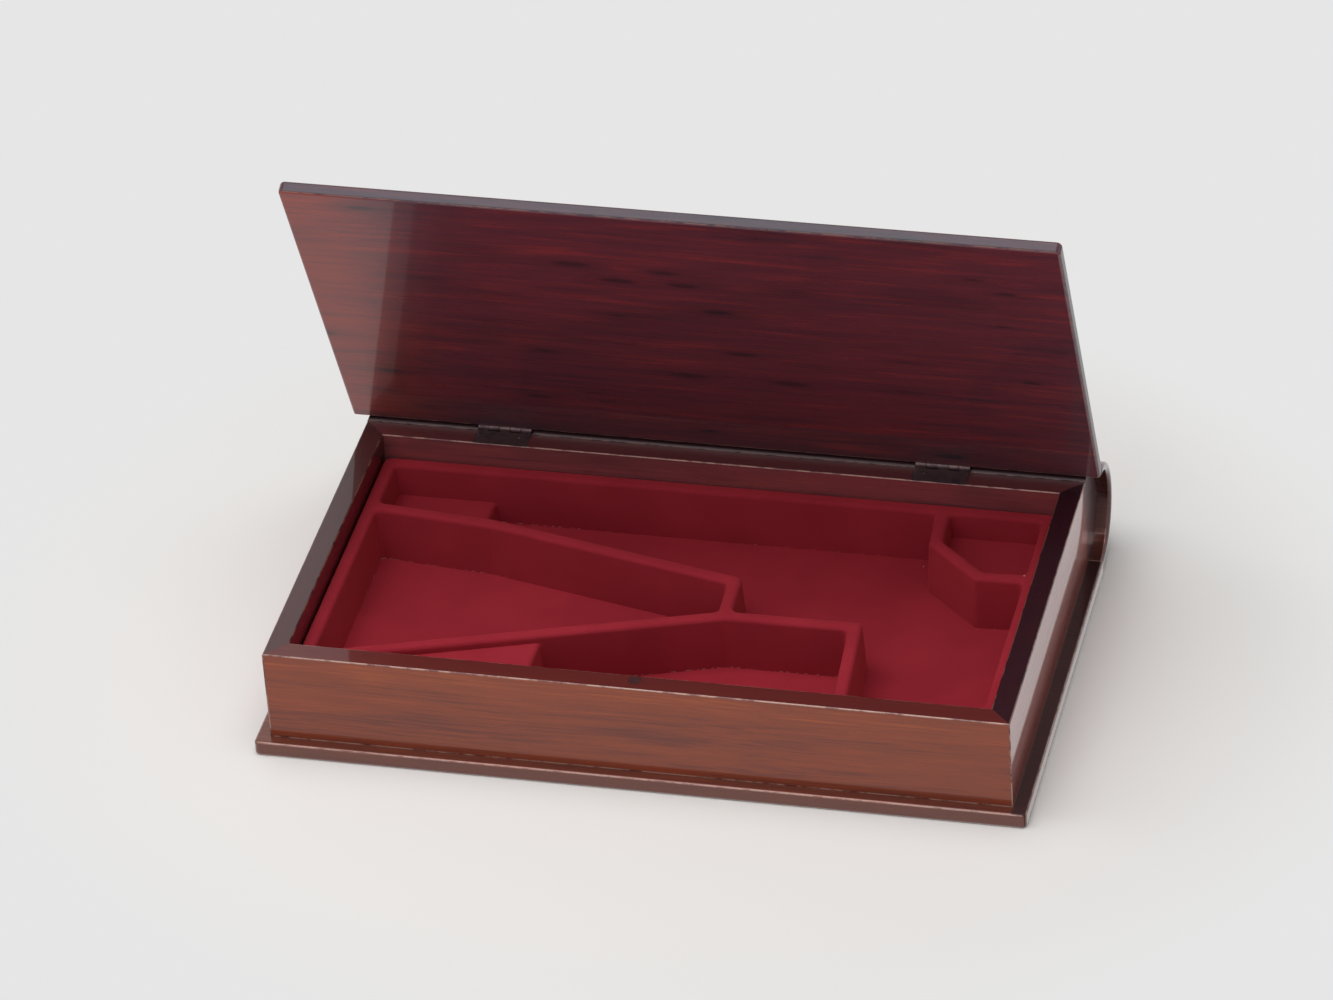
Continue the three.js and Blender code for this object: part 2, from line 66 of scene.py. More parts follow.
LID_JOINT = "lid_hinge"
MILLIMETRE = 0.001
SAME_POINT = 1e-7
NOISE_MEAN = 0.5

Colour = tuple[float, float, float, float]
Pair = tuple[float, float]
Triple = tuple[float, float, float]
Nodes = dict[str, bpy.types.Object]
Socket = bpy.types.NodeSocket


class Body(Enum):
    """The two rigid bodies of the box."""

    CASE = "case"
    LID = "lid"


class Slot(Enum):
    """The record's material slots."""

    WOOD = "lacquered_wood"
    LID_WOOD = "lid_wood"
    FLOCK = "flock"
    BRASS = "brass"
    STEEL = "steel"


class Grain(Enum):
    """The way in which a board's grain runs."""

    ALONG_BOX = "along the box"
    ACROSS_BOX = "from front to spine"
    ALONG_LID = "along the open lid"

    def turn(self, opening: float = 0.0) -> Euler:
        """Gives the turn that brings a board's grain onto X and its faces square to the axes.

        Args:
            opening: How far the lid is open at rest, in radians.

        Returns:
            The turn.
        """
        turns = {
            Grain.ALONG_BOX: (0.0, 0.0, 0.0),
            Grain.ACROSS_BOX: (0.0, 0.0, math.pi / 2),
            Grain.ALONG_LID: (opening, 0.0, 0.0),
        }
        return Euler(turns[self])


def linear(code: str) -> Colour:
    """Turns a colour written as #rrggbb into linear light, by the sRGB curve.

    Args:
        code: The colour as it looks on a screen.

    Returns:
        Red, green, blue and an alpha of 1.
    """
    channels = [int(code[k : k + 2], 16) / 255 for k in (1, 3, 5)]
    light = [c / 12.92 if c <= 0.04045 else ((c + 0.055) / 1.055) ** 2.4 for c in channels]
    return (light[0], light[1], light[2], 1.0)


class NodeBuilder:
    """Adds nodes to one tree and joins them.

    A Mix node has sockets of the same names for values, vectors and colours, so the ones for colours are
    numbered: the share and the two colours go in, and one colour comes out.
    """

    MIX_INPUTS = (0, 6, 7)
    MIX_RESULT = 2

    def __init__(self, tree: bpy.types.NodeTree) -> None:
        """Keeps the tree that the nodes go into."""
        self.tree = tree

    def join(self, value: object, socket: Socket) -> None:
        """Feeds a socket from another node's output, or sets it to a plain value.

        Args:
            value: The output or the plain value.
            socket: The input that it goes to.
        """
        if isinstance(value, bpy.types.NodeSocket):
            self.tree.links.new(value, socket)
        else:
            socket.default_value = value

    def add(
        self, kind: str, inputs: dict[str | int, object] | None = None, **settings: object
    ) -> bpy.types.Node:
        """Adds a node.

        Args:
            kind: The node's type.
            inputs: A value, or another node's output, for each input that is named or numbered.
            settings: Properties of the node itself.

        Returns:
            The new node.
        """
        node = self.tree.nodes.new(kind)
        for name, value in settings.items():
            setattr(node, name, value)
        for key, value in (inputs or {}).items():
            self.join(value, node.inputs[key])
        return node

    def math(self, operation: str, first: object, second: object = 0.0) -> Socket:
        """Adds a Math node and returns its value."""
        return self.add("ShaderNodeMath", {0: first, 1: second}, operation=operation).outputs[0]

    def vector_math(self, operation: str, first: object, second: object = (0.0, 0.0, 0.0)) -> Socket:
        """Adds a Vector Math node and returns its vector."""
        return self.add("ShaderNodeVectorMath", {0: first, 1: second}, operation=operation).outputs[0]

    def measure(self, operation: str, first: object, second: object = (0.0, 0.0, 0.0)) -> Socket:
        """Adds a Vector Math node for a length or a dot product and returns its value."""
        node = self.add("ShaderNodeVectorMath", {0: first, 1: second}, operation=operation)
        return node.outputs["Value"]

    def parts(self, vector: Socket) -> tuple[Socket, Socket, Socket]:
        """Splits a vector and returns its three parts."""
        x, y, z = self.add("ShaderNodeSeparateXYZ", {0: vector}).outputs
        return x, y, z

    def step(self, value: object, low: float, high: float, start: float = 0.0, end: float = 1.0) -> Socket:
        """Adds a smooth step that goes from start at low to end at high, and returns it."""
        inputs = {"Value": value, "From Min": low, "From Max": high, "To Min": start, "To Max": end}
        return self.add("ShaderNodeMapRange", inputs, interpolation_type="SMOOTHSTEP").outputs[0]

    def noise(self, vector: object, stretch: Triple, detail: float) -> Socket:
        """Adds a noise texture whose features are one unit of stretched space, and returns its value."""
        scaled = self.vector_math("MULTIPLY", vector, stretch)
        return self.add("ShaderNodeTexNoise", {"Vector": scaled, "Scale": 1.0, "Detail": detail}).outputs[0]

    def swing(self, vector: object, stretch: Triple, detail: float) -> Socket:
        """Adds a noise texture and returns how far its value is from the mean."""
        return self.math("SUBTRACT", self.noise(vector, stretch, detail), NOISE_MEAN)

    def mix(self, share: object, first: object, second: object) -> Socket:
        """Mixes two colours.

        Args:
            share: How much of the second colour there is, from 0 to 1.
            first: The one colour.
            second: The other colour.

        Returns:
            The mixed colour.
        """
        node = self.add("ShaderNodeMix", data_type="RGBA")
        for key, value in zip(self.MIX_INPUTS, (share, first, second)):
            self.join(value, node.inputs[key])
        return node.outputs[self.MIX_RESULT]

    def bump(self, height: Socket, strength: float, depth: float) -> Socket:
        """Adds a bump and returns its normal."""
        inputs = {"Height": height, "Strength": strength, "Distance": depth}
        return self.add("ShaderNodeBump", inputs).outputs[0]

    def group(self, tree: bpy.types.NodeTree, inputs: dict[str, object]) -> bpy.types.NodeOutputs:
        """Places a shader group with its own values.

        Args:
            tree: The group.
            inputs: A value, or another node's output, for each of its inputs.

        Returns:
            What the group puts out.
        """
        node = self.add("ShaderNodeGroup", node_tree=tree)
        for name, value in inputs.items():
            self.join(value, node.inputs[name])
        return node.outputs


@dataclass(frozen=True)
class ShaderGroup:
    """A shader effect that more than one finish uses, built once."""

    name: str = ""
    colours: tuple[str, ...] = ()
    vectors: tuple[str, ...] = ("Vector",)
    values: tuple[str, ...] = ()
    outputs: tuple[tuple[str, str], ...] = (("Mask", "NodeSocketFloat"),)

    def tree(self) -> bpy.types.NodeTree:
        """Builds the group if it isn't there yet.

        Returns:
            The group's tree.
        """
        known = bpy.data.node_groups.get(self.name)
        if known:
            return known
        tree = bpy.data.node_groups.new(self.name, "ShaderNodeTree")
        kinds = (("Color", self.colours), ("Vector", self.vectors), ("Float", self.values))
        for kind, names in kinds:
            for name in names:
                tree.interface.new_socket(name=name, in_out="INPUT", socket_type=f"NodeSocket{kind}")
        for name, kind in self.outputs:
            tree.interface.new_socket(name=name, in_out="OUTPUT", socket_type=kind)
        build = NodeBuilder(tree)
        build.add("NodeGroupOutput", self.wire(build, build.add("NodeGroupInput").outputs))
        return tree

    def wire(self, build: NodeBuilder, given: bpy.types.NodeOutputs) -> dict[str, Socket]:
        """Adds the group's own nodes.

        Args:
            build: The builder for the group's tree.
            given: The group's inputs.

        Returns:
            What each output puts out.
        """
        raise NotImplementedError


@dataclass(frozen=True)
class WoodGrain(ShaderGroup):
    """Sawn hardwood: bands, streaks, fibres, pores, dark flecks and clouds, drawn out along X.

    A Triple is how many features of a pattern there are to the metre along X, Y and Z. A Pair is where an
    effect starts and ends, as a pattern's value, a tone or a distance from a fleck's middle.
    """

    name: str = "Wood grain"
    colours: tuple[str, ...] = ("Pale", "Body", "Dark")
    values: tuple[str, ...] = ("Bands", "Streaks", "Marks", "Seed")
    outputs: tuple[tuple[str, str], ...] = (("Color", "NodeSocketColor"), ("Height", "NodeSocketFloat"))
    seed_shift: Triple = (0.61, 1.0, 0.37)
    wander: Triple = (0.0, 0.014, 0.014)
    wander_scale: float = 4.0
    band: Triple = (2.6, 26.0, 26.0)
    streak: Triple = (13.0, 210.0, 210.0)
    fibre: Triple = (24.0, 1000.0, 1000.0)
    fibre_share: float = 0.42
    dark_to_body: Pair = (0.30, 0.50)
    body_to_pale: Pair = (0.50, 0.72)
    pore: Triple = (150.0, 2600.0, 2600.0)
    pore_edge: Pair = (0.62, 0.76)
    pore_shade: float = 0.12
    pore_depth: float = 0.8
    fleck: Triple = (18.0, 78.0, 78.0)
    fleck_share: float = 0.7
    fleck_sizes: Pair = (0.6, 1.9)
    fleck_core: Pair = (0.05, 0.17)
    fleck_tail: Pair = (0.08, 0.40)
    tail_shade: float = 0.35
    cloud: Triple = (6.0, 24.0, 24.0)
    cloud_edge: Pair = (0.54, 0.72)
    cloud_shade: float = 0.45
    deepest: Colour = (0.004, 0.003, 0.006, 1.0)
    deepest_share: float = 0.5

    def wire(self, build: NodeBuilder, given: bpy.types.NodeOutputs) -> dict[str, Socket]:
        """Adds the nodes of the grain.

        Args:
            build: The builder for the group's tree.
            given: The group's inputs.

        Returns:
            The wood's colour and the height of its fibres.
        """
        shift = build.vector_math("MULTIPLY", given["Seed"], self.seed_shift)
        place = build.vector_math("ADD", given["Vector"], shift)
        inputs = {"Vector": place, "Scale": self.wander_scale, "Detail": 1.0}
        drift = build.add("ShaderNodeTexNoise", inputs).outputs["Color"]
        drift = build.vector_math("SUBTRACT", drift, (NOISE_MEAN, NOISE_MEAN, NOISE_MEAN))
        place = build.vector_math("ADD", place, build.vector_math("MULTIPLY", drift, self.wander))
        fibre = build.swing(place, self.fibre, detail=2.0)
        tone = self.tone(build, place, given, fibre)
        colour = build.mix(build.step(tone, *self.dark_to_body), given["Dark"], given["Body"])
        colour = build.mix(build.step(tone, *self.body_to_pale), colour, given["Pale"])
        pore = build.step(build.noise(place, self.pore, detail=0.0), *self.pore_edge)
        shade = build.math("MULTIPLY", self.marks(build, place), given["Marks"])
        shade = build.math("ADD", shade, build.math("MULTIPLY", pore, self.pore_shade))
        colour = build.mix(shade, colour, build.mix(self.deepest_share, given["Dark"], self.deepest))
        height = build.math("SUBTRACT", fibre, build.math("MULTIPLY", pore, self.pore_depth))
        return {"Color": colour, "Height": height}

    def tone(
        self, build: NodeBuilder, place: Socket, given: bpy.types.NodeOutputs, fibre: Socket
    ) -> Socket:
        """Adds up bands, streaks and fibres.

        Args:
            build: The builder for the group's tree.
            place: The place on the board, shifted and wandering.
            given: The group's inputs.
            fibre: The fibres' own pattern.

        Returns:
            One tone, round the mean of a noise texture.
        """
        band = build.swing(place, self.band, detail=2.0)
        streak = build.swing(place, self.streak, detail=3.0)
        tone = build.math("MULTIPLY", band, given["Bands"])
        tone = build.math("ADD", tone, build.math("MULTIPLY", streak, given["Streaks"]))
        tone = build.math("ADD", tone, NOISE_MEAN)
        return build.math("ADD", tone, build.math("MULTIPLY", fibre, self.fibre_share))

    def marks(self, build: NodeBuilder, place: Socket) -> Socket:
        """Adds small dark flecks with soft tails, in a share of the cells, and large dark clouds.

        Args:
            build: The builder for the group's tree.
            place: The place on the board, shifted and wandering.

        Returns:
            How dark the marks are.
        """
        scaled = build.vector_math("MULTIPLY", place, self.fleck)
        cells = build.add("ShaderNodeTexVoronoi", {"Vector": scaled, "Scale": 1.0}).outputs
        chance, bulk, _ = build.add("ShaderNodeSeparateColor", {0: cells["Color"]}).outputs
        size = build.step(bulk, 0.0, 1.0, *self.fleck_sizes)
        distance = build.math("DIVIDE", cells["Distance"], size)
        distance = build.math("ADD", distance, build.math("GREATER_THAN", chance, self.fleck_share))
        core = build.step(distance, *self.fleck_core, 1.0, 0.0)
        tail = build.step(distance, *self.fleck_tail, self.tail_shade, 0.0)
        cloud = build.noise(place, self.cloud, detail=3.0)
        cloud = build.step(cloud, *self.cloud_edge, 0.0, self.cloud_shade)
        return build.math("MAXIMUM", build.math("MAXIMUM", core, tail), cloud)


@dataclass(frozen=True)
class BoardFaces(ShaderGroup):
    """Masks for the arrises, the narrow sides, one end and one wide face of a board.

    Arris is a broken line along the edges, which the finishes paint paler: rubbed wear on the metals, and
    rubbed wear with a painted highlight on the lacquers. Side covers the narrow faces. End covers the wide
    faces within Reach of the end that Towards points to, and fades out over Soft either way. Upper
    covers the wide face that Thin points to, and Thin is the direction of the thickness, one metre long.
    """

    name: str = "Board faces"
    vectors: tuple[str, ...] = ("Vector", "Centre", "Half", "Thin")
    values: tuple[str, ...] = ("Width", "Towards", "Reach", "Soft")
    outputs: tuple[tuple[str, str], ...] = (
        ("Arris", "NodeSocketFloat"),
        ("Side", "NodeSocketFloat"),
        ("End", "NodeSocketFloat"),
        ("Upper", "NodeSocketFloat"),
    )
    rub_fade: Pair = (0.3, 1.0)
    rub: Triple = (150.0, 150.0, 150.0)
    rub_edge: Pair = (0.34, 0.58)
    side_depths: Pair = (0.3 * MILLIMETRE, 0.9 * MILLIMETRE)
    upper_levels: Pair = (-1.2 * MILLIMETRE, -0.8 * MILLIMETRE)

    def wire(self, build: NodeBuilder, given: bpy.types.NodeOutputs) -> dict[str, Socket]:
        """Adds the nodes of the four masks.

        Args:
            build: The builder for the group's tree.
            given: The group's inputs.

        Returns:
            The masks.
        """
        place = build.vector_math("SUBTRACT", given["Vector"], given["Centre"])
        depth = build.vector_math("SUBTRACT", given["Half"], build.vector_math("ABSOLUTE", place))
        side = self.side(build, given, depth)
        end = build.math("MULTIPLY", self.end(build, given, place), build.math("SUBTRACT", 1.0, side))
        rise = build.vector_math("SUBTRACT", place, given["Half"])
        upper = build.step(build.measure("DOT_PRODUCT", rise, given["Thin"]), *self.upper_levels)
        return {"Arris": self.arris(build, given, depth), "Side": side, "End": end, "Upper": upper}

    def arris(self, build: NodeBuilder, given: bpy.types.NodeOutputs, depth: Socket) -> Socket:
        """Masks the edges: there the middle one of the depths below a box's three faces is small.

        Args:
            build: The builder for the group's tree.
            given: The group's inputs.
            depth: How deep the place is below each of the three faces.

        Returns:
            The mask, broken up by noise.
        """
        x, y, z = build.parts(depth)
        low = build.math("MINIMUM", x, y)
        high = build.math("MAXIMUM", x, y)
        middle = build.math("MAXIMUM", low, build.math("MINIMUM", high, z))
        near = build.step(build.math("DIVIDE", middle, given["Width"]), *self.rub_fade, 1.0, 0.0)
        broken = build.step(build.noise(given["Vector"], self.rub, detail=3.0), *self.rub_edge)
        return build.math("MULTIPLY", near, broken)

    def side(self, build: NodeBuilder, given: bpy.types.NodeOutputs, depth: Socket) -> Socket:
        """Masks the narrow faces: the metre that Thin adds leaves the wide ones out.

        Args:
            build: The builder for the group's tree.
            given: The group's inputs.
            depth: How deep the place is below each of the three faces.

        Returns:
            The mask.
        """
        x, y, z = build.parts(build.vector_math("ADD", depth, given["Thin"]))
        least = build.math("MINIMUM", build.math("MINIMUM", x, y), z)
        return build.step(least, *self.side_depths, 1.0, 0.0)

    def end(self, build: NodeBuilder, given: bpy.types.NodeOutputs, place: Socket) -> Socket:
        """Masks what lies within reach of one end.

        Args:
            build: The builder for the group's tree.
            given: The group's inputs.
            place: The place, from the board's centre.

        Returns:
            The mask.
        """
        along = build.math("MULTIPLY", build.parts(place)[0], given["Towards"])
        to_end = build.math("SUBTRACT", build.parts(given["Half"])[0], along)
        past = build.math("SUBTRACT", to_end, given["Reach"])
        return build.step(build.math("DIVIDE", past, given["Soft"]), -1.0, 1.0, 1.0, 0.0)


@dataclass(frozen=True)
class Specks(ShaderGroup):
    """Sparse specks of lint or dust."""

    name: str = "Specks"
    values: tuple[str, ...] = ("Scale", "Size", "Share")

    def wire(self, build: NodeBuilder, given: bpy.types.NodeOutputs) -> dict[str, Socket]:
        """Adds the nodes: one speck in a share of the cells.

        Args:
            build: The builder for the group's tree.
            given: The group's inputs.

        Returns:
            The specks' mask.
        """
        inputs = {"Vector": given["Vector"], "Scale": given["Scale"]}
        cells = build.add("ShaderNodeTexVoronoi", inputs).outputs
        near = build.math("LESS_THAN", cells["Distance"], given["Size"])
        pick = build.add("ShaderNodeSeparateColor", {0: cells["Color"]}).outputs[0]
        kept = build.math("LESS_THAN", pick, given["Share"])
        return {"Mask": build.math("MULTIPLY", near, kept)}


@dataclass(frozen=True)
class Lint:
    """The specks on one finish.

    Density is cells to the metre, share is how many of the cells have a speck, and size is the speck's
    radius where a cell is 1.
    """

    colour: str
    density: float
    size: float
    share: float
    strength: float

    def mask(self, build: NodeBuilder, place: Socket) -> Socket:
        """Adds the specks to a material and returns their mask."""
        inputs = {"Vector": place, "Scale": self.density, "Size": self.size, "Share": self.share}
        return build.math("MULTIPLY", build.group(Specks().tree(), inputs)["Mask"], self.strength)


def new_material(name: str) -> tuple[bpy.types.Material, NodeBuilder, bpy.types.NodeInputs]:
    """Starts a material.

    Args:
        name: The finish, and the piece where it is made for one piece.

    Returns:
        The material, a builder for its nodes and its Principled shader's inputs.
    """
    material = bpy.data.materials.new(name)
    material.use_nodes = True
    shader = material.node_tree.nodes["Principled BSDF"]
    return material, NodeBuilder(material.node_tree), shader.inputs


@dataclass(frozen=True)
class Board:
    """What a finish has to know of the board or leaf that it goes on, in the directions of its grain."""

    name: str
    turn: Euler
    centre: Vector
    half: Vector

    @property
    def box(self) -> dict[str, Vector]:
        """Gives the box that the masks of BoardFaces go by.

        Returns:
            Its centre, half its size and the direction of its thickness.
        """
        least = min(self.half)
        thin = Vector([1.0 if size == least else 0.0 for size in self.half])
        return {"Centre": self.centre, "Half": self.half, "Thin": thin}

    @property
    def back(self) -> Matrix:
        """Gives the turn from the directions of the grain back to the box's own."""
        return self.turn.to_matrix().inverted().to_4x4()

    def place(self, build: NodeBuilder) -> Socket:
        """Adds object coordinates in the directions of the grain and returns them."""
        coordinates = build.add("ShaderNodeTexCoord").outputs["Object"]
        return build.add("ShaderNodeMapping", {"Vector": coordinates, "Rotation": self.turn}).outputs[0]

    @classmethod
    def of(cls, node: bpy.types.Object, turn: Euler) -> Board:
        """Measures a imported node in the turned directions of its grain.

        Args:
            node: The node's object.
            turn: The turn that brings its grain onto X.

        Returns:
            The board.
        """
        corners = [turn.to_matrix() @ vertex.co for vertex in node.data.vertices]
        low = Vector([min(corner[axis] for corner in corners) for axis in range(3)])
        high = Vector([max(corner[axis] for corner in corners) for axis in range(3)])
        return cls(node.name, turn, (low + high) / 2, (high - low) / 2)


@dataclass(frozen=True)
class Lacquer:
    """Stained hardwood below clear gloss lacquer. The fibres below the lacquer shine a little themselves.

    The grain runs from dark over body to pale. Side is the colour of the narrow faces: their own stain,
    and on some boards painted light, as painted shade on the front and end walls' tops and the spine
    block's ends, and a painted cool sheen on the lid's free edge. The upper tones take the place of those
    three on the face that BoardFaces calls upper: the lid's outer face in its own colour, and painted shade
    on the left end wall's inner face. Near one end of the board the end colour is painted over the three,
    each by its share in end_painted_light_tones: painted shade on the base board's ledge beside the right
    end wall, and a painted warm reflection at the lid's left end.
    """

    name: str
    pale: str
    body: str
    dark: str
    arris: str
    side: str
    upper_tones_and_painted_shade: tuple[str, str, str] | None = None
    bands: float = 0.4
    streaks: float = 0.35
    marks: float = 0.25
    arris_width: float = 0.9 * MILLIMETRE
    arris_share: float = 0.5
    fibre_shine: float = 0.5
    fibre_heights: Pair = (-0.3, 0.3)
    side_shine: float = 0.12
    side_stain_and_painted_light: float = 0.85
    side_coat: float = 1.0
    # The end colour below is painted light near one end of a board; a negative end_reach leaves it off.
    end: str = "#32181c"
    end_towards: float = 1.0
    end_reach: float = -10 * MILLIMETRE
    end_soft: float = MILLIMETRE
    end_painted_light_share: float = 0.8
    end_painted_light_tones: Triple = (1.0, 1.0, 1.0)
    end_coat: float = 1.0
    haze: float = 0.0
    haze_colour: str = "#c8b4b8"
    roughness: float = 0.32
    roughness_swing: float = 0.06
    specular: float = 0.2
    bump_strength: float = 0.10
    bump_depth: float = 0.1 * MILLIMETRE
    coat_weight: float = 1.0
    coat_roughness: float = 0.045
    dust: Lint = Lint("#b8a49c", density=45.0, size=0.012, share=0.12, strength=0.4)

    def material(self, board: Board, seed: float) -> bpy.types.Material:
        """Makes the finish for one board.

        Args:
            board: The board.
            seed: Shifts the pattern, so that no two boards look alike.

        Returns:
            The material.
        """
        material, build, shader = new_material(f"{self.name} {board.name}")
        place = board.place(build)
        reaches = {
            "Width": self.arris_width,
            "Towards": self.end_towards,
            "Reach": self.end_reach,
            "Soft": self.end_soft,
        }
        faces = build.group(BoardFaces().tree(), {"Vector": place, **board.box, **reaches})
        tones = self.tones(build, faces)
        amounts = {"Bands": self.bands, "Streaks": self.streaks, "Marks": self.marks, "Seed": seed}
        wood = build.group(WoodGrain().tree(), {"Vector": place, **tones, **amounts})
        # Side colour: the narrow faces' own stain, and on some boards painted shade (walls' tops, block ends)
        # and a painted cool sheen (lid's free edge).
        side_stain_and_light_share = build.math("MULTIPLY", faces["Side"], self.side_stain_and_painted_light)
        colour = build.mix(side_stain_and_light_share, wood["Color"], linear(self.side))
        # The pale broken arris line is rubbed wear and a painted highlight.
        rubbed = build.math("MULTIPLY", faces["Arris"], self.arris_share)
        colour = build.mix(rubbed, colour, linear(self.arris))
        colour = build.mix(self.dust.mask(build, place), colour, linear(self.dust.colour))
        build.join(colour, shader["Base Color"])
        self.add_shine(build, faces, wood["Height"], shader)
        return material

    def tones(self, build: NodeBuilder, faces: bpy.types.NodeOutputs) -> dict[str, object]:
        """Gives the grain's three tones, as plain colours or as they change over the board, with painted
        shade and a painted warm reflection where the upper tones and the end colour go over them.

        Args:
            build: The builder for the material's nodes.
            faces: The masks of the board's faces.

        Returns:
            The three tones by their names in WoodGrain.
        """
        tones = {"Pale": linear(self.pale), "Body": linear(self.body), "Dark": linear(self.dark)}
        # The end colour paints light: painted shade on the base board's right ledge, a painted warm
        # reflection at the lid's left end.
        end = build.math("MULTIPLY", faces["End"], self.end_painted_light_share)
        # Upper tones: the lid's outer face in its own colour, and painted shade on the left end wall's inner
        # face.
        if self.upper_tones_and_painted_shade:
            for name, code in zip(tones, self.upper_tones_and_painted_shade):
                tones[name] = build.mix(faces["Upper"], tones[name], linear(code))
            end = build.math("MULTIPLY", end, build.math("SUBTRACT", 1.0, faces["Upper"]))
        for name, share in zip(tones, self.end_painted_light_tones):
            tones[name] = build.mix(build.math("MULTIPLY", end, share), tones[name], linear(self.end))
        return tones

    def add_shine(
        self, build: NodeBuilder, faces: bpy.types.NodeOutputs, height: Socket, shader: bpy.types.NodeInputs
    ) -> None:
        """Sets how the fibres, the lacquer and its haze shine.

        Args:
            build: The builder for the material's nodes.
            faces: The masks of the board's faces.
            height: The height of the fibres.
            shader: The Principled shader's inputs.
        """
        rough = self.roughness + self.roughness_swing
        smooth = self.roughness - self.roughness_swing
        build.join(build.step(height, *self.fibre_heights, rough, smooth), shader["Roughness"])
        build.join(build.bump(height, self.bump_strength, self.bump_depth), shader["Normal"])
        shine = build.step(faces["Side"], 0.0, 1.0, self.fibre_shine, self.side_shine)
        build.join(shine, shader["Metallic"])
        coat = build.step(faces["Side"], 0.0, 1.0, self.coat_weight, self.side_coat)
        coat = build.math("MULTIPLY", coat, build.step(faces["End"], 0.0, 1.0, 1.0, self.end_coat))
        build.join(coat, shader["Coat Weight"])
        shader["Coat Roughness"].default_value = self.coat_roughness
        shader["Sheen Weight"].default_value = self.haze
        shader["Sheen Tint"].default_value = linear(self.haze_colour)
        shader["Specular IOR Level"].default_value = self.specular


@dataclass(frozen=True)
class Flock:
    """Short velvet flock on a formed sheet, with specks of lint and a line of it along the pockets' floors.

    The line lies between its foot and its top above the pockets' floor. Two patterns, of dashes and of
    stretches along the wall, break it up.
    """

    name: str = "crimson flock"
    body: str = "#8f222e"
    brushed: str = "#982632"
    shade: str = "#771b29"
    patch: Triple = (26.0, 26.0, 26.0)
    patch_edge: Pair = (0.35, 0.7)
    pile: Triple = (2300.0, 2300.0, 2300.0)
    pile_shade: float = 0.3
    bump_strength: float = 0.35
    bump_depth: float = 0.25 * MILLIMETRE
    roughness: float = 0.95
    specular: float = 0.15
    sheen: float = 0.3
    sheen_roughness: float = 0.45
    sheen_colour: str = "#ff5858"
    lint: Lint = Lint("#dcb4ae", density=62.0, size=0.03, share=0.16, strength=0.75)
    floor_level: float = 17.0 * MILLIMETRE
    line_foot: Pair = (0.15 * MILLIMETRE, 0.3 * MILLIMETRE)
    line_top: Pair = (0.5 * MILLIMETRE, 0.7 * MILLIMETRE)
    line_share: float = 0.5
    dash: Triple = (420.0, 420.0, 100.0)
    dash_edge: Pair = (0.52, 0.66)
    stretch: Triple = (7.0, 7.0, 7.0)
    stretch_edge: Pair = (0.46, 0.6)

    def material(self) -> bpy.types.Material:
        """Makes the finish.

        Returns:
            The material.
        """
        material, build, shader = new_material(self.name)
        place = build.add("ShaderNodeTexCoord").outputs["Object"]
        patch = build.step(build.noise(place, self.patch, detail=3.0), *self.patch_edge)
        pile = build.noise(place, self.pile, detail=2.0)
        colour = build.mix(patch, linear(self.body), linear(self.brushed))
        colour = build.mix(build.math("MULTIPLY", pile, self.pile_shade), colour, linear(self.shade))
        lint = build.math("MAXIMUM", self.lint.mask(build, place), self.lint_line(build, place))
        colour = build.mix(lint, colour, linear(self.lint.colour))
        build.join(colour, shader["Base Color"])
        build.join(build.bump(pile, self.bump_strength, self.bump_depth), shader["Normal"])
        shader["Roughness"].default_value = self.roughness
        shader["Specular IOR Level"].default_value = self.specular
        shader["Sheen Weight"].default_value = self.sheen
        shader["Sheen Roughness"].default_value = self.sheen_roughness
        shader["Sheen Tint"].default_value = linear(self.sheen_colour)
        return material

    def lint_line(self, build: NodeBuilder, place: Socket) -> Socket:
        """Masks the broken line of lint where a pocket's wall meets its floor.

        Args:
            build: The builder for the material's nodes.
            place: Object coordinates.

        Returns:
            The line's mask.
        """
        above = build.math("SUBTRACT", build.parts(place)[2], self.floor_level)
        line = build.step(above, *self.line_foot)
        line = build.math("MULTIPLY", line, build.step(above, *self.line_top, 1.0, 0.0))
        dashes = build.step(build.noise(place, self.dash, detail=2.0), *self.dash_edge)
        stretches = build.step(build.noise(place, self.stretch, detail=1.0), *self.stretch_edge)
        stretches = build.math("MULTIPLY", stretches, self.line_share)
        return build.math("MULTIPLY", build.math("MULTIPLY", line, dashes), stretches)


@dataclass(frozen=True)
class Metal:
    """Plain metal with an uneven tarnish, a fine brushed grain and brighter rubbed edges."""

    name: str
    bright: str
    dull: str
    rubbed: str
    metallic: float = 1.0
    edge: float = 0.35 * MILLIMETRE
    rubbed_share: float = 0.6
    stain: Triple = (180.0, 180.0, 180.0)
    stain_edge: Pair = (0.4, 0.7)
    rough_stain: Pair = (0.2, 0.8)
    roughness: Pair = (0.28, 0.5)
    brush: Triple = (300.0, 4000.0, 4000.0)
    bump_strength: float = 0.1
    bump_depth: float = 0.05 * MILLIMETRE

    def material(self, board: Board) -> bpy.types.Material:
        """Makes the finish for one piece.

        Args:
            board: The piece.

        Returns:
            The material.
        """
        material, build, shader = new_material(f"{self.name} {board.name}")
        place = board.place(build)
        stain = build.noise(place, self.stain, detail=4.0)
        brushed = build.noise(place, self.brush, detail=1.0)
        colour = build.mix(build.step(stain, *self.stain_edge), linear(self.bright), linear(self.dull))
        faces = build.group(BoardFaces().tree(), {"Vector": place, **board.box, "Width": self.edge})
        rubbed = build.math("MULTIPLY", faces["Arris"], self.rubbed_share)
        build.join(build.mix(rubbed, colour, linear(self.rubbed)), shader["Base Color"])
        build.join(build.step(stain, *self.rough_stain, *self.roughness), shader["Roughness"])
        build.join(build.bump(brushed, self.bump_strength, self.bump_depth), shader["Normal"])
        shader["Metallic"].default_value = self.metallic
        return material


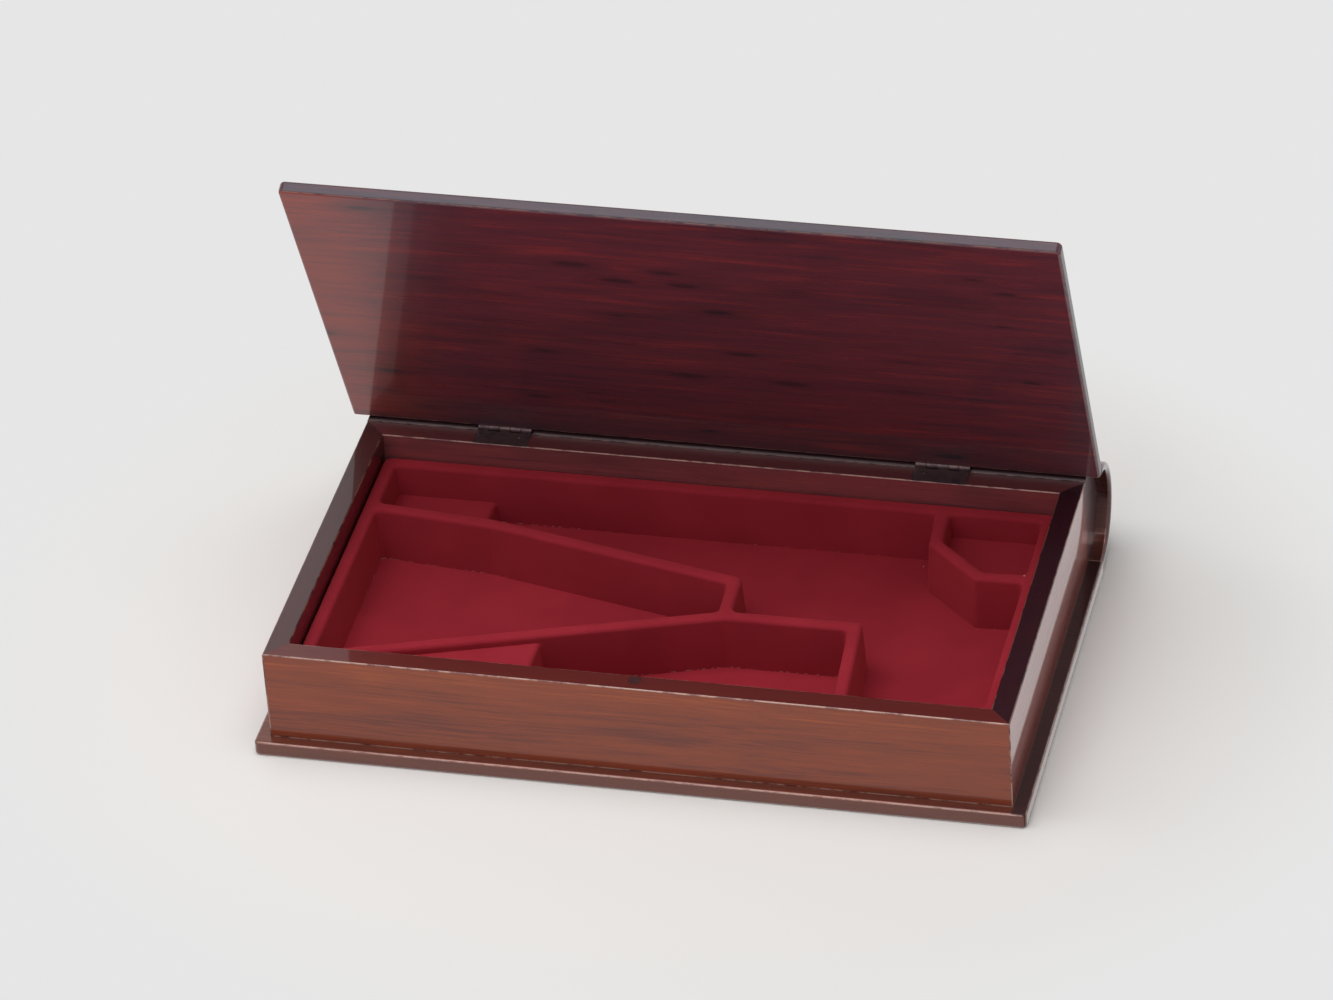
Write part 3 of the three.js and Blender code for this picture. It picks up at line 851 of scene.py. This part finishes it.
FRONT_WOOD = Lacquer(
    "walnut lacquer",
    pale="#b05420",
    body="#8c3c1e",
    dark="#6c2e1e",
    arris="#d8b4a4",
    # Painted shade: the side colour darkens the front wall's top, which mirrors the dark lid.
    side="#501a1e",
    bands=0.5,
    streaks=0.3,
    side_coat=0.75,
)
BASE_WOOD = Lacquer(
    "brown walnut lacquer",
    pale="#864832",
    body="#6a3628",
    dark="#4c2822",
    arris="#dcbcb0",
    side="#6c3628",
    side_stain_and_painted_light=0.6,
    # Painted shade: the end colour darkens the base board's right ledge beside the end wall, with less coat
    # there.
    end_painted_light_share=0.9,
    end_coat=0.3,
)
RIGHT_WOOD = Lacquer(
    "dark walnut lacquer",
    pale="#b0442c",
    body="#923626",
    dark="#662624",
    arris="#a07060",
    # Painted shade: the near-black side colour darkens the end wall's top, whose fibres run from front to
    # spine and shine little there.
    side="#1a0e18",
    side_stain_and_painted_light=0.95,
    side_coat=0.85,
    coat_weight=0.85,
)
# Painted shade: the side colour darkens the left end wall's top, and the upper tones darken its inner face in
# the gap beside the tray.
LEFT_WOOD = replace(RIGHT_WOOD, side="#3e2224", upper_tones_and_painted_shade=("#54221c", "#381816", "#241012"))
# The wall's own red walnut, with its tones lifted and greyed as a painted highlight on its inner face.
REAR_WOOD = Lacquer(
    "red walnut lacquer",
    pale="#b0625c",
    body="#9a555a",
    dark="#724850",
    arris="#c8a090",
    side="#54282a",
    side_coat=0.3,
)
# The spine's own dark walnut, darkened further as painted shade at its right end; the block's darker side
# colour paints shade on its ends.
SPINE_WOOD = Lacquer(
    "plain walnut lacquer",
    pale="#783a2c",
    body="#582a22",
    dark="#3a1c1c",
    arris="#a88478",
    side="#54303a",
)
BLOCK_WOOD = replace(SPINE_WOOD, side="#482c36", side_coat=0.5)
LID_WOOD = Lacquer(
    "rosewood lacquer",
    pale="#90363a",
    body="#642c3a",
    dark="#3e2638",
    arris="#b08068",
    # Partly painted light: the blue-grey side colour paints the cool sheen of the overhead light on the lid's
    # free edge, over its own dark stain.
    side="#1e2a34",
    upper_tones_and_painted_shade=("#98402c", "#7c3226", "#5a2620"),
    bands=0.35,
    streaks=0.5,
    marks=1.0,
    fibre_shine=0.4,
    side_stain_and_painted_light=0.72,
    side_coat=0.3,
    # Painted reflection: the orange end colour paints the warm reflection of the pale floor on the inner face
    # near the lid's left end.
    end="#a03818",
    end_towards=-1.0,
    end_reach=42 * MILLIMETRE,
    end_soft=34 * MILLIMETRE,
    end_painted_light_share=0.75,
    end_painted_light_tones=(1.0, 0.75, 0.3),
    haze=0.18,
    coat_weight=0.64,
    coat_roughness=0.06,
)
# The hinges' and screws' brass is coloured dark purple-brown: a painted reflection of the dark lid.
BRASS_WITH_PAINTED_REFLECTION = Metal("dark bronze", bright="#5c4648", dull="#42343c", rubbed="#5e4a44", metallic=0.5)
DARK_STEEL = Metal("dark steel", bright="#5c383a", dull="#40282c", rubbed="#6c4c4c", metallic=0.7)


@dataclass(frozen=True)
class SoftArrises:
    """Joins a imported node's loose triangles and shades its round surfaces smooth.

    Normals are weighted by area after that, so that a flat face stays a true mirror up to its rounded edge.
    """

    name: str = "Soft arrises"
    weighted_name: str = "Flat faces first"
    weld: float = 0.002 * MILLIMETRE
    angle: float = math.radians(32)

    def tree(self) -> bpy.types.NodeTree:
        """Builds the geometry group if it isn't there yet.

        Returns:
            The group's tree.
        """
        known = bpy.data.node_groups.get(self.name)
        if known:
            return known
        tree = bpy.data.node_groups.new(self.name, "GeometryNodeTree")
        for way in ("INPUT", "OUTPUT"):
            tree.interface.new_socket(name="Geometry", in_out=way, socket_type="NodeSocketGeometry")
        build = NodeBuilder(tree)
        source = build.add("NodeGroupInput").outputs["Geometry"]
        inputs = {"Geometry": source, "Distance": self.weld}
        joined = build.add("GeometryNodeMergeByDistance", inputs).outputs[0]
        inputs = {"Geometry": joined, "Shade Smooth": True}
        smooth = build.add("GeometryNodeSetShadeSmooth", inputs).outputs[0]
        bend = build.add("GeometryNodeInputMeshEdgeAngle").outputs["Unsigned Angle"]
        flat = build.add("FunctionNodeCompare", {0: bend, 1: self.angle}, operation="LESS_THAN").outputs[0]
        inputs = {"Geometry": smooth, "Shade Smooth": flat}
        shaded = build.add("GeometryNodeSetShadeSmooth", inputs, domain="EDGE").outputs[0]
        build.add("NodeGroupOutput", {"Geometry": shaded})
        return tree

    def apply_to(self, node: bpy.types.Object) -> None:
        """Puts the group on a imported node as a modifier, and weighted normals after it.

        Args:
            node: The node's object.
        """
        carried = node.data.attributes.get("custom_normal")
        if carried:
            node.data.attributes.remove(carried)
        modifier = node.modifiers.new(self.name, "NODES")
        modifier.node_group = self.tree()
        weighted = node.modifiers.new(self.weighted_name, "WEIGHTED_NORMAL")
        weighted.mode = "FACE_AREA"
        weighted.keep_sharp = True


def dress(node: bpy.types.Object, material: bpy.types.Material) -> None:
    """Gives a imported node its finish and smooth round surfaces.

    Args:
        node: The node's object.
        material: Its finish.
    """
    node.data.materials.clear()
    node.data.materials.append(material)
    SoftArrises().apply_to(node)
    LOG.info("dressed %s in %s", node.name, material.name)


def revolve(bm: bmesh.types.BMesh, profile: Iterable[Pair], segments: int) -> None:
    """Spins a profile about Z into a closed body.

    Args:
        bm: The mesh that it goes into.
        profile: Radius and height of each point, from the lower pole to the upper one.
        segments: Steps in the full turn.
    """
    verts = [bm.verts.new((radius, 0.0, height)) for radius, height in profile]
    edges = [bm.edges.new(pair) for pair in zip(verts, verts[1:])]
    bmesh.ops.spin(
        bm,
        geom=verts + edges,
        cent=(0.0, 0.0, 0.0),
        axis=(0.0, 0.0, 1.0),
        dvec=(0.0, 0.0, 0.0),
        angle=math.tau,
        steps=segments,
        use_merge=True,
        use_duplicate=False,
    )
    bmesh.ops.remove_doubles(bm, verts=bm.verts, dist=SAME_POINT)
    bmesh.ops.recalc_face_normals(bm, faces=bm.faces)


def finish_piece(
    name: str, bm: bmesh.types.BMesh, place: Matrix, smooth_below: float = 30.0
) -> bpy.types.Object:
    """Turns a bmesh into an object that sits at the origin, with its place in its mesh.

    Args:
        name: The piece's name.
        bm: Its mesh, which is freed.
        place: Where it goes.
        smooth_below: Edges that bend less than this many degrees are shaded smooth.

    Returns:
        The new object.
    """
    bmesh.ops.transform(bm, matrix=place, verts=bm.verts)
    bmesh.ops.recalc_face_normals(bm, faces=bm.faces)
    for face in bm.faces:
        face.smooth = True
    for edge in bm.edges:
        edge.smooth = edge.is_manifold and edge.calc_face_angle() < math.radians(smooth_below)
    mesh = bpy.data.meshes.new(name)
    bm.to_mesh(mesh)
    bm.free()
    piece = bpy.data.objects.new(name, mesh)
    bpy.context.scene.collection.objects.link(piece)
    return piece


@dataclass
class SlottedScrew:
    """A countersunk screw with a straight slot across its slightly domed head.

    The dome falls by the crown from the middle to the rim, and by crown_fall of it up to crown_reach of the
    head's radius.
    """

    head_radius: float
    shank_radius: float
    length: float
    head_rim: float = 0.2 * MILLIMETRE
    crown: float = 0.12 * MILLIMETRE
    crown_reach: float = 0.6
    crown_fall: float = 0.35
    slot_width: float = 0.5 * MILLIMETRE
    slot_depth: float = 0.5 * MILLIMETRE
    segments: int = 32
    smooth_below: float = 35.0
    top_slope: float = 0.5

    def mesh(self, slot_turn: float) -> bmesh.types.BMesh:
        """Models the screw with the middle of its head at height 0.

        Args:
            slot_turn: The slot's angle, in radians.

        Returns:
            The mesh.
        """
        bm = bmesh.new()
        cone = self.head_radius - self.shank_radius
        neck = -self.head_rim - cone
        tip = -self.length + 2 * self.shank_radius
        profile = [
            (0.0, -self.length),
            (self.shank_radius, tip),
            (self.shank_radius, neck),
            (self.head_radius, -self.head_rim),
            (self.head_radius, -self.crown),
            (self.head_radius * self.crown_reach, -self.crown * self.crown_fall),
            (0.0, 0.0),
        ]
        revolve(bm, profile, self.segments)
        self.cut_slot(bm)
        bmesh.ops.rotate(bm, verts=bm.verts, matrix=Matrix.Rotation(slot_turn, 3, "Z"))
        return bm

    def top_faces(self, bm: bmesh.types.BMesh) -> list[bmesh.types.BMFace]:
        """Finds the faces of the head's top."""
        return [face for face in bm.faces if face.normal.z > self.top_slope]

    def cut_slot(self, bm: bmesh.types.BMesh) -> None:
        """Presses the strip across the head's top down into a slot.

        Args:
            bm: The screw's mesh.
        """
        half = self.slot_width / 2
        for side in (-half, half):
            top = self.top_faces(bm)
            edges = {edge for face in top for edge in face.edges}
            verts = {vert for face in top for vert in face.verts}
            geometry = [*top, *edges, *verts]
            bmesh.ops.bisect_plane(bm, geom=geometry, plane_co=(0.0, side, 0.0), plane_no=(0.0, 1.0, 0.0))
        bm.normal_update()
        strip = [face for face in self.top_faces(bm) if abs(face.calc_center_median().y) < half]
        sunk = bmesh.ops.extrude_face_region(bm, geom=strip)["geom"]
        bmesh.ops.delete(bm, geom=strip, context="FACES_ONLY")
        moved = [item for item in sunk if isinstance(item, bmesh.types.BMVert)]
        bmesh.ops.translate(bm, vec=(0.0, 0.0, -self.slot_depth), verts=moved)


@dataclass(frozen=True)
class CaseBoard:
    """One board of the case: its node, its finish, the way its grain runs and its pattern's seed."""

    node: str
    wood: Lacquer
    grain: Grain
    seed: float


@dataclass
class Case:
    """The lower board, the four mitred walls and the half-round spine."""

    ledge_width: float = 8.0 * MILLIMETRE

    def build(self, nodes: Nodes) -> None:
        """Dresses the case's boards.

        Args:
            nodes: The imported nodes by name.
        """
        # The base board's painted shade reaches over its right ledge.
        base_wood = replace(BASE_WOOD, end_reach=self.ledge_width)
        boards = (
            CaseBoard("base_board", base_wood, Grain.ALONG_BOX, seed=1.3),
            CaseBoard("front_wall", FRONT_WOOD, Grain.ALONG_BOX, seed=2.1),
            CaseBoard("rear_wall", REAR_WOOD, Grain.ALONG_BOX, seed=3.7),
            CaseBoard("left_end_wall", LEFT_WOOD, Grain.ACROSS_BOX, seed=4.9),
            CaseBoard("right_end_wall", RIGHT_WOOD, Grain.ACROSS_BOX, seed=5.3),
            CaseBoard("spine_block", BLOCK_WOOD, Grain.ALONG_BOX, seed=6.6),
            CaseBoard("spine_cover", SPINE_WOOD, Grain.ALONG_BOX, seed=7.2),
        )
        for board in boards:
            node = nodes[board.node]
            material = board.wood.material(Board.of(node, board.grain.turn()), board.seed)
            dress(node, material)


@dataclass
class Lid:
    """The upper board, which turns on the hinges, and the wooden plug over the catch's keeper."""

    opening: float
    plug_overlap: float = 0.17 * MILLIMETRE
    plug_segments: int = 48
    seed: float = 8.4

    def build(self, nodes: Nodes) -> None:
        """Dresses the lid board and plugs the keeper's recess.

        Args:
            nodes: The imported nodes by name.
        """
        turn = Grain.ALONG_LID.turn(self.opening)
        material = LID_WOOD.material(Board.of(nodes["lid_board"], turn), self.seed)
        dress(nodes["lid_board"], material)
        plug = self.plug(nodes["catch_keeper"], turn)
        plug.data.materials.append(material)
        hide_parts("catch_keeper")
        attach(plug, Body.LID.value)
        LOG.info("built %s", plug.name)

    def plug(self, keeper: bpy.types.Object, turn: Euler) -> bpy.types.Object:
        """Models a disc of the lid's own wood, flush with the lid's inner face.

        Args:
            keeper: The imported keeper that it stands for.
            turn: The turn that lays the lid flat.

        Returns:
            The plug.
        """
        disc = Board.of(keeper, turn)
        radius = disc.half.x + self.plug_overlap
        bm = bmesh.new()
        bottom = bmesh.ops.create_circle(bm, cap_ends=True, segments=self.plug_segments, radius=radius)
        face = bottom["verts"][0].link_faces[0]
        raised = bmesh.ops.extrude_face_region(bm, geom=[face])["geom"]
        verts = [item for item in raised if isinstance(item, bmesh.types.BMVert)]
        bmesh.ops.translate(bm, vec=(0.0, 0.0, 2 * disc.half.z), verts=verts)
        underside = disc.centre - Vector((0.0, 0.0, disc.half.z))
        return finish_piece("keeper_plug", bm, disc.back @ Matrix.Translation(underside))


@dataclass
class FlockedTray:
    """The formed tray with its pockets and rounded ridges."""

    flock: Flock = Flock()

    def build(self, nodes: Nodes) -> None:
        """Dresses the tray.

        Args:
            nodes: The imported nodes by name.
        """
        dress(nodes["flocked_tray"], self.flock.material())


@dataclass
class Fittings:
    """The two butt hinges, their screws and the catch's magnet.

    The slots' turns are the first angle and what each letter of a screw's name and its number add to it.
    """

    opening: float
    lid_shank_radius: float = 0.7 * MILLIMETRE
    wall_shank_radius: float = 0.9 * MILLIMETRE
    slot_turns: Triple = (20.0, 47.0, 35.0)

    def build(self, nodes: Nodes) -> None:
        """Dresses the hinges and the magnet, and models the screws.

        Args:
            nodes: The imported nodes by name.
        """
        for name, node in nodes.items():
            turn = Grain.ALONG_LID.turn(self.opening if "_lid_" in name else 0.0)
            if "_screw_" in name:
                self.build_screw(node, turn)
            elif "_hinge_" in name:
                dress(node, BRASS_WITH_PAINTED_REFLECTION.material(Board.of(node, turn)))
        magnet = nodes["catch_magnet"]
        dress(magnet, DARK_STEEL.material(Board.of(magnet, Grain.ALONG_BOX.turn())))

    def build_screw(self, node: bpy.types.Object, turn: Euler) -> None:
        """Models a slotted screw in a packed screw's place.

        Args:
            node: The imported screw.
            turn: The turn that lays its hinge leaf square to the axes.
        """
        board = Board.of(node, turn)
        on_lid = "_lid_" in node.name
        if on_lid:
            screw = SlottedScrew(board.half.x, self.lid_shank_radius, 2 * board.half.y)
            top = board.centre + Vector((0.0, board.half.y, 0.0))
            upright = Matrix.Rotation(-math.pi / 2, 4, "X")
        else:
            screw = SlottedScrew(board.half.x, self.wall_shank_radius, 2 * board.half.z)
            top = board.centre + Vector((0.0, 0.0, board.half.z))
            upright = Matrix.Identity(4)
        place = board.back @ Matrix.Translation(top) @ upright
        mesh = screw.mesh(self.slot_turn(node.name))
        piece = finish_piece(f"{node.name}_slotted", mesh, place, screw.smooth_below)
        piece.data.materials.append(BRASS_WITH_PAINTED_REFLECTION.material(replace(board, name=piece.name)))
        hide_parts(node.name)
        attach(piece, (Body.LID if on_lid else Body.CASE).value)
        LOG.info("built %s", piece.name)

    def slot_turn(self, name: str) -> float:
        """Gives each screw's slot an angle of its own, in radians."""
        first, by_letter, by_number = self.slot_turns
        return math.radians(first + by_letter * len(name) + by_number * int(name[-1]))


@dataclass(frozen=True)
class Lamp:
    """A square soft lamp: its name, the place of its middle, its side and its power in watts."""

    name: str
    place: Triple
    size: float
    power: float


@dataclass
class Studio:
    """A plain pale floor, soft lamps and the camera.

    The lamps light the floor inside an ellipse round the box, whose half axes are fade. Beyond fade_end
    times that, the floor has the backdrop's own colour. The camera's turn is in degrees, and its lens and
    sensor are in millimetres.
    """

    camera_place: Triple = (0.81133, -2.97605, 2.30470)
    camera_turn: Triple = (54.33966, 3.32595, 13.00058)
    lens: float = 193.275
    sensor: float = 36.0
    far_clip: float = 50.0
    backdrop: str = "#e6e6e6"
    floor_half: float = 5.0
    floor_albedo: str = "#e4e2e0"
    floor_roughness: float = 0.9
    floor_specular: float = 0.1
    fade: Triple = (0.29, 0.25, 1.0)
    fade_end: float = 1.4
    gloss_share: float = 0.72
    ambient: float = 0.34
    aim: Triple = (0.0, 0.0, 0.05)
    lamps: tuple[Lamp, ...] = (
        Lamp("overhead lamp", (-0.15, -0.2, 1.75), size=1.6, power=24.0),
        Lamp("left lamp", (-1.4, -0.2, 1.3), size=0.8, power=3.5),
        Lamp("front lamp", (-0.4, -2.2, 1.2), size=1.2, power=5.8),
    )

    def build(self) -> None:
        """Makes the floor, the world, the lamps and the camera."""
        self.make_floor()
        self.make_world()
        for lamp in self.lamps:
            self.hang(lamp)
        self.make_camera()
        bpy.context.scene.view_settings.view_transform = "Standard"

    def make_floor(self) -> None:
        """Lays a plane whose far part has the backdrop's own colour for the camera and for gloss."""
        bm = bmesh.new()
        bmesh.ops.create_grid(bm, x_segments=1, y_segments=1, size=self.floor_half)
        floor = finish_piece("floor", bm, Matrix.Identity(4))
        material, build, shader = new_material("floor")
        shader["Base Color"].default_value = linear(self.floor_albedo)
        shader["Roughness"].default_value = self.floor_roughness
        shader["Specular IOR Level"].default_value = self.floor_specular
        place = build.add("ShaderNodeTexCoord").outputs["Object"]
        distance = build.measure("LENGTH", build.vector_math("DIVIDE", place, self.fade))
        path = build.add("ShaderNodeLightPath").outputs
        far = build.math("MULTIPLY", build.step(distance, 1.0, self.fade_end), self.seen(build))
        gloss = build.math("MAXIMUM", path["Is Glossy Ray"], path["Is Transmission Ray"])
        share = build.math("MAXIMUM", far, build.math("MULTIPLY", gloss, self.gloss_share))
        glow = build.add("ShaderNodeEmission", {"Color": linear(self.backdrop), "Strength": 1.0})
        lit = material.node_tree.nodes["Principled BSDF"].outputs[0]
        blend = build.add("ShaderNodeMixShader", {0: share, 1: lit, 2: glow.outputs[0]})
        build.join(blend.outputs[0], material.node_tree.nodes["Material Output"].inputs[0])
        floor.data.materials.append(material)

    def make_world(self) -> None:
        """Gives an even soft light, and the backdrop's colour to the camera and to gloss."""
        world = bpy.data.worlds.new("studio")
        bpy.context.scene.world = world
        world.use_nodes = True
        world.node_tree.nodes.clear()
        build = NodeBuilder(world.node_tree)
        ambient = {"Color": (1.0, 1.0, 1.0, 1.0), "Strength": self.ambient}
        light = build.add("ShaderNodeBackground", ambient).outputs[0]
        backdrop = {"Color": linear(self.backdrop), "Strength": 1.0}
        shown = build.add("ShaderNodeBackground", backdrop).outputs[0]
        blend = build.add("ShaderNodeMixShader", {0: self.seen(build), 1: light, 2: shown})
        build.add("ShaderNodeOutputWorld", {0: blend.outputs[0]})

    def seen(self, build: NodeBuilder) -> Socket:
        """Adds a mask for what the camera sees, directly, in gloss or through glass.

        Args:
            build: The builder for the material's or the world's nodes.

        Returns:
            The mask.
        """
        path = build.add("ShaderNodeLightPath").outputs
        direct = build.math("MAXIMUM", path["Is Camera Ray"], path["Is Glossy Ray"])
        return build.math("MAXIMUM", direct, path["Is Transmission Ray"])

    def hang(self, lamp: Lamp) -> None:
        """Hangs a lamp that faces the box.

        Args:
            lamp: The lamp.
        """
        light = bpy.data.lights.new(lamp.name, "AREA")
        light.shape = "SQUARE"
        light.size = lamp.size
        light.energy = lamp.power
        fixture = bpy.data.objects.new(lamp.name, light)
        fixture.location = lamp.place
        towards_box = Vector(self.aim) - Vector(lamp.place)
        fixture.rotation_euler = towards_box.to_track_quat("-Z", "Y").to_euler()
        bpy.context.scene.collection.objects.link(fixture)

    def make_camera(self) -> None:
        """Puts the camera where the photograph was taken."""
        data = bpy.data.cameras.new("camera")
        data.lens = self.lens
        data.sensor_width = self.sensor
        data.clip_end = self.far_clip
        camera = bpy.data.objects.new("camera", data)
        camera.location = self.camera_place
        camera.rotation_euler = Euler([math.radians(angle) for angle in self.camera_turn])
        bpy.context.scene.collection.objects.link(camera)
        bpy.context.scene.camera = camera


def main() -> None:
    """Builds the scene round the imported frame."""
    logging.basicConfig(level=logging.INFO, format="%(name)s: %(message)s")
    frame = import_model()
    joint = next(j for j in frame["joints"] if j["name"] == LID_JOINT)
    opening = math.radians(-joint["range_deg"][0])
    Studio().build()
    for assembly in (Case(), Lid(opening), FlockedTray(), Fittings(opening)):
        assembly.build(frame["nodes"])


if __name__ == "__main__":
    main()
